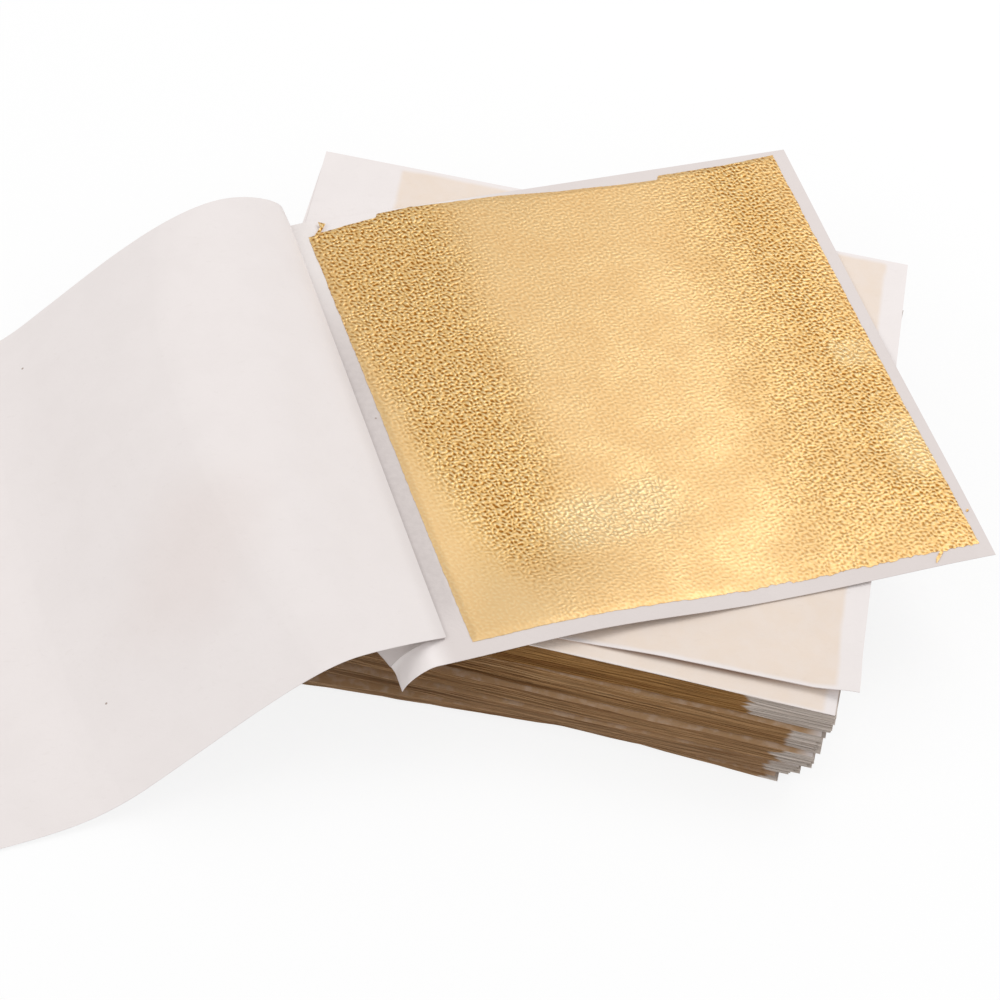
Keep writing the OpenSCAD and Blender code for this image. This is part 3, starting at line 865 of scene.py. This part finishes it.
# Its head edge [u, v], with its steps and its rounded left corner
HEAD_EDGE = [(-41.5, 38.9), (-40.6, 39.9), (-39.4, 40.7), (-37.7, 40.9), (-34.9, 41.4),
             (-29.7, 42.1), (-29.3, 42.9), (-23.9, 43.3), (-16, 43.0), (-7.8, 42.7), (0.2, 41.8),
             (12.5, 41.1), (18.3, 40.9), (18.7, 41.8), (30, 41.85), (39.5, 42.5)]


def leaf_form():
    """The bare leaf's points u and v, and how far each rises over the form."""
    a, b = uv_grid(0, 1, 0, 1, LEAF_CELLS, LEAF_CELLS)
    u = -LEAF_W / 2 + LEAF_W * a
    v = -LEAF_H / 2 + LEAF_H * b
    # The sides' slants, then the rags along the edges
    eu = (1 - a) * (-0.85 - 0.0155 * v) + a * (-0.25 - 0.0085 * v)
    rag_v = rag_noise(u / 1.3, 0 * u) * 0.16 + fine_noise(u / 0.45, 0 * u) * 0.16
    rag_u = rag_noise(0 * v + 9, v / 1.9) * 0.05 + fine_noise(0 * v + 4, v / 0.6) * 0.05
    at_head, at_foot = smooth((b - 0.97) / 0.03), smooth((0.03 - b) / 0.03)
    at_right, at_left = smooth((a - 0.97) / 0.03), smooth((0.03 - a) / 0.03)
    uu = u + eu + rag_u * (at_right + at_left)
    head = np.interp(uu, *np.transpose(HEAD_EDGE))
    vv = v - 0.5 * (1 - b) + (head - LEAF_H / 2) * at_head
    vv = vv + rag_v * (at_head * 0.2 + at_foot * (0.35 + 0.65 * smooth((u + 12) / 20)))
    band = smooth((uu + 38) / 5) * smooth((-18 - uu) / 8) + 0.8 * smooth((uu - 14) / 10)
    bent_u = u / 1.6 + 0.7 * rag_noise(u / 3, v / 3)
    bent_v = v / 0.9 + 0.7 * fine_noise(u / 3, v / 3)
    worm = fractal(worm_noise, bent_u, bent_v, 2)
    wrinkle = (0.15 + 0.85 * band) * 0.007 * (1 - np.abs(worm) * 2.2).clip(0, 1)
    swell = 0.05 * fractal(fine_noise, u / 11, v / 11, 2)
    from_edge = np.minimum(np.minimum(a, 1 - a), np.minimum(b, 1 - b))
    rim = 1 - smooth(from_edge / 0.012)
    return uu, vv, (wrinkle + swell + 0.05) * smooth(from_edge / 0.02 + 0.2) - 0.055 * rim


uu, vv, rise = leaf_form()
leaf = lay("bare_leaf_sheet", uu, vv, LEAF_UP, BARE_LEAF_T, rise)
open_gold = mat_gold("open_gold")
leaf.data.materials.append(open_gold)
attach(leaf, "bare_leaf")
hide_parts("open_gold_leaf")

# A torn flag of leaf stands at the rounded corner: [u, v, height] up its middle, and its widths
FLAG_SPINE = [(-40.7, 39.3, 0.05), (-39.7, 40.5, 0.25), (-39.0, 41.3, 0.4), (-38.7, 42.3, 0.45)]
FLAG_WIDTHS = [0.9, 0.6, 0.55, 1.35]
FLAG_SIDE = (0.8, -0.45)
low = np.array([[to_world(p[0] + k * w * FLAG_SIDE[0], p[1] + k * w * FLAG_SIDE[1],
                          LEAF_UP + p[2]) for k in (-0.5, 0, 0.5)]
                for p, w in zip(FLAG_SPINE, FLAG_WIDTHS)])
flag = grid_sheet("leaf_flag", low, low + np.array([0, 0, BARE_LEAF_T]))
flag.data.flip_normals()
flag.data.materials.append(open_gold)
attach(flag, "bare_leaf")

# The cover tissue, turned back at its crease
ROWS, COLS = 240, 110
front_path, back_path = [cover_path(k, ROWS)[:, None] for k in (FRONT_KNOTS, BACK_KNOTS)]
across = np.linspace(0, 1, COLS + 1)[None, :]
section_pts = front_path + (back_path - front_path) * across[..., None]
along = np.gradient(section_pts, axis=0)
along /= np.linalg.norm(along, axis=2)[..., None]


def cover_grid(off):
    """The cover's points, off mm over its under side."""
    p = section_pts + off * np.stack([-along[..., 1], along[..., 0]], -1)
    aa, t = p[..., 0], across + 0 * p[..., 0]
    tv = COVER_FOOT + PAPER_H * t
    lift = (open_z(CREASE_U + 0 * tv, tv) * (1 - smooth(aa / 14))
            + CORNER_LIFT * smooth(1 - np.abs(aa - 31) / 26) * np.sin(np.pi * t))
    fade = smooth((aa - 6) / 14) * smooth((66 - aa) / 14)
    wave = WAVE_H * fade * np.sin(np.radians(t * 300 + aa * 5))
    crinkle = 0.04 * smooth((aa - 4) / 8) * fractal(rag_noise, aa / 7 + 20, tv / 7, 3)
    drift = math.tan(rad(SLANT)) * (aa - np.maximum(0, aa - 50) ** 2 / 50)
    return to_world(CREASE_U - aa, tv - drift, p[..., 1] + lift + wave + crinkle)


cover = grid_sheet("cover_sheet", cover_grid(0.0), cover_grid(FORM_T))
cover.data.flip_normals()
cover.data.materials.append(mat_cover("open_cover"))
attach(cover, "open_cover")
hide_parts("open_cover_tissue")
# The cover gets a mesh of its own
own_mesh(cover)

# A torn sliver and a speck of leaf lie on the backing: [u, v] along the middle, and the widths
SLIVER = [(33.9, -43.2), (33.4, -43.7), (32.8, -44.3), (32.3, -45.0)], [0.5, 0.5, 0.5, 0.12]
SPECK = [(40.7, -36.9), (40.9, -36.7), (41.1, -36.5)], [0.15, 0.4, 0.2]
SCRAP_T = 0.04


def scrap(points, width):
    """The low and high grids of a scrap of leaf on the backing."""
    mid = np.array(points)
    d = np.gradient(mid, axis=0)
    d = np.stack([-d[:, 1], d[:, 0]], 1) / np.linalg.norm(d, axis=1)[:, None]
    rows = [mid + k * np.array(width)[:, None] * d for k in (0.5, 0, -0.5)]
    lift = [open_z(q[:, 0], q[:, 1]) + LEAF_UP for q in rows]
    low = np.stack([to_world(q[:, 0], q[:, 1], z) for q, z in zip(rows, lift)], 1)
    return low, low + np.array([0, 0, SCRAP_T])


sliver = grid_sheet("leaf_scraps", *scrap(*SLIVER))
speck = grid_sheet("leaf_speck", *scrap(*SPECK))
for ob in (sliver, speck):
    ob.data.flip_normals()
    ob.data.materials.append(open_gold)
    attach(ob, "open_packet")
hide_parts("leaf_crumbs")

# Floor and light, in metres
FLOOR_HALF, FLOOR_DROP, FLOOR_GREY, FLOOR_WHITE = 3.0, 0.00005, 0.95, 0.85
WORLD_LIGHT = 0.645
LAMP_AIM = (0, 0, 0.01)
KEY_AT, KEY_SIZE = (0.2, 0.32, 0.55), (0.4, 0.35)


def mixed_shader(tree, share, a, b, out):
    """Sends a, with b's share of it in its place, to the output."""
    mix = tree.nodes.new("ShaderNodeMixShader")
    tree.links.new(share, mix.inputs[0])
    tree.links.new(a.outputs[0], mix.inputs[1])
    tree.links.new(b.outputs[0], mix.inputs[2])
    tree.links.new(mix.outputs[0], out.inputs[0])


def set_floor():
    """A plain floor that looks white from the camera and still takes the object's shadow."""
    me = bpy.data.meshes.new("floor")
    s = FLOOR_HALF
    me.from_pydata([(-s, -s, 0), (s, -s, 0), (s, s, 0), (-s, s, 0)], [], [(0, 1, 2, 3)])
    ob = bpy.data.objects.new("floor", me)
    bpy.context.scene.collection.objects.link(ob)
    ob.location.z = -FLOOR_DROP
    n = Nodes("floor")
    n.set("Base Color", (FLOOR_GREY,) * 3)
    n.set("Roughness", 0.9)
    rays = n.t.nodes.new("ShaderNodeLightPath").outputs
    white = n.t.nodes.new("ShaderNodeEmission")
    white.inputs[0].default_value = (1, 1, 1, 1)
    seen = n.most(rays["Is Camera Ray"], n.most(rays["Is Glossy Ray"], rays["Is Transmission Ray"]))
    mixed_shader(n.t, n.mul(seen, FLOOR_WHITE), n.bsdf, white, n.out)
    me.materials.append(n.m)


def set_world():
    """Even light all round, with plain white behind the floor."""
    world = bpy.data.worlds.new("world")
    bpy.context.scene.world = world
    world.use_nodes = True
    tree = world.node_tree
    tree.nodes.clear()
    out = tree.nodes.new("ShaderNodeOutputWorld")
    light, backdrop = [tree.nodes.new("ShaderNodeBackground") for _ in range(2)]
    for node, strength in ((light, WORLD_LIGHT), (backdrop, 1.0)):
        node.inputs[0].default_value = (1, 1, 1, 1)
        node.inputs[1].default_value = strength
    rays = tree.nodes.new("ShaderNodeLightPath").outputs
    mixed_shader(tree, rays["Is Camera Ray"], light, backdrop, out)


def area(name, loc, size, power):
    """An area lamp that faces the object."""
    lamp = bpy.data.lights.new(name, "AREA")
    lamp.shape = "RECTANGLE"
    lamp.size, lamp.size_y = size
    lamp.energy = power
    ob = bpy.data.objects.new(name, lamp)
    bpy.context.scene.collection.objects.link(ob)
    ob.location = loc
    ob.rotation_euler = (Vector(LAMP_AIM) - Vector(loc)).to_track_quat("-Z", "Y").to_euler()
    return ob


set_floor()
area("key", KEY_AT, KEY_SIZE, 0.65)
area("key_soft", KEY_AT, KEY_SIZE, 1.15).visible_glossy = False
area("fill", (-0.9, -0.5, 0.7), (0.5, 0.5), 2.1)
area("front", (-0.6, -0.9, 0.3), (0.6, 0.4), 1.3)
set_world()
bpy.context.scene.view_settings.view_transform = "Standard"
